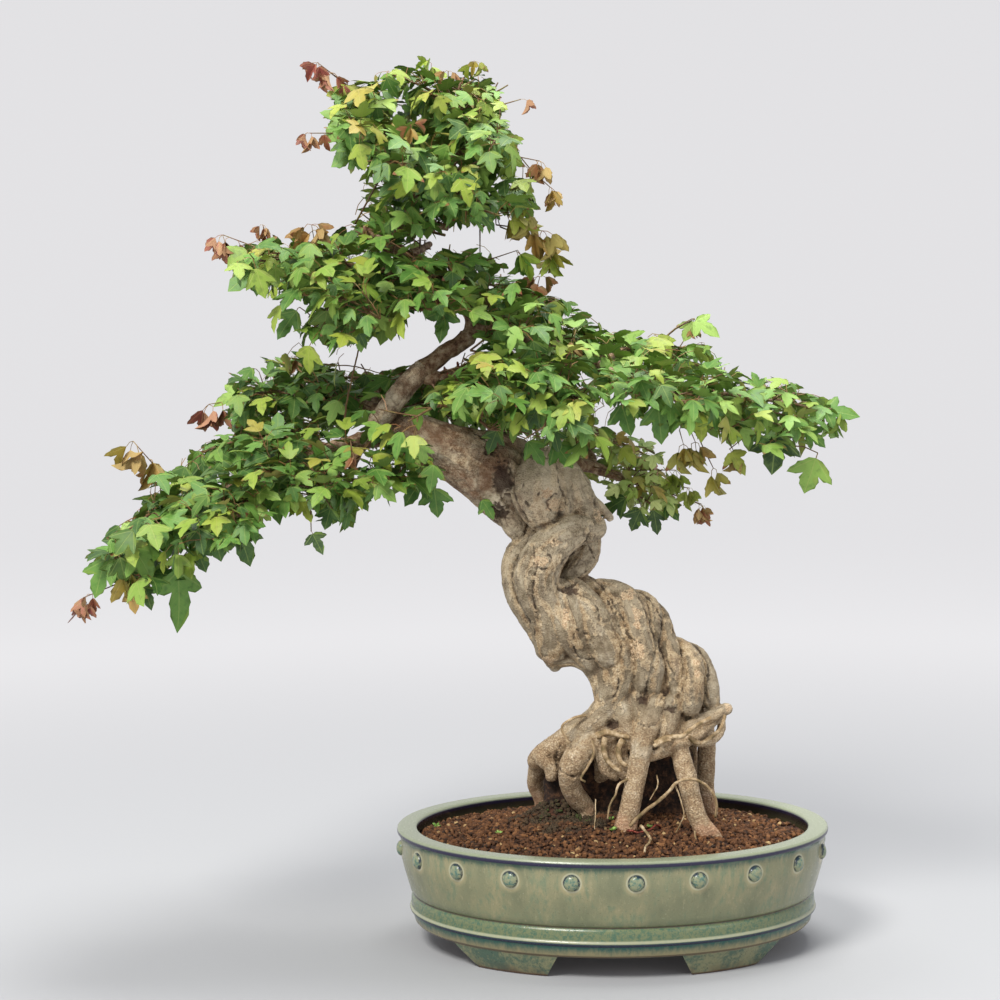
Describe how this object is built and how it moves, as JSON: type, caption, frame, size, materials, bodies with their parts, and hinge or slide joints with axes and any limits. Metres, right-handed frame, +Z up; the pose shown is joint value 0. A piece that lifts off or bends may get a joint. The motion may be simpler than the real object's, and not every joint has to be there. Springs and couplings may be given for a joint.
{
  "type": "trident maple bonsai",
  "caption": "Leaning trident maple bonsai with exposed clasping roots, a thick fused trunk and layered leafy branches, in a glazed oval pot with studs and cut feet.",
  "frame": {"origin": "middle of the whole object's box, on the ground under the pot's feet", "axes": "+Z up, +X to the right along the pot's length as the picture shows it, -Y towards the viewer"},
  "size_m": [0.7884, 0.3972, 0.8893],
  "materials": {
    "glaze": "glossy mottled olive and teal stoneware glaze",
    "mesh_plastic": "dull black plastic mesh",
    "soil_grain": "dry crumbly red-brown clay grain",
    "tie_wire": "coppered wire, slightly dull",
    "bark": "rough grey-tan bark with ochre creases",
    "leaf": "satin green leaves on reddish stalks"
  },
  "bodies": {
    "root": {"pot": "glaze", "drain_mesh_left": "mesh_plastic", "drain_mesh_right": "mesh_plastic", "soil": "soil_grain", "anchor_wire": "tie_wire", "wood": "bark", "spray_low_left": "leaf", "spray_low_left_front": "leaf", "spray_low_left_back": "leaf", "spray_low_front": "leaf", "spray_back_left": "leaf", "spray_back_middle": "leaf", "spray_mid_left": "leaf", "spray_mid_front": "leaf", "spray_mid_back": "leaf", "spray_upper_left": "leaf", "spray_apex_left": "leaf", "spray_upper_trunk": "leaf", "spray_apex_right": "leaf", "spray_apex_back": "leaf", "spray_apex_front": "leaf", "spray_upper_right": "leaf", "spray_upper_back": "leaf", "spray_right_long": "leaf", "spray_right_front": "leaf", "spray_right_back": "leaf", "spray_right_under": "leaf", "spray_right_upper": "leaf", "spray_centre_top": "leaf", "spray_brown_stub": "leaf", "spray_front_left": "leaf", "spray_right_low_back": "leaf", "spray_centre_back": "leaf"}
  },
  "joints": []
}
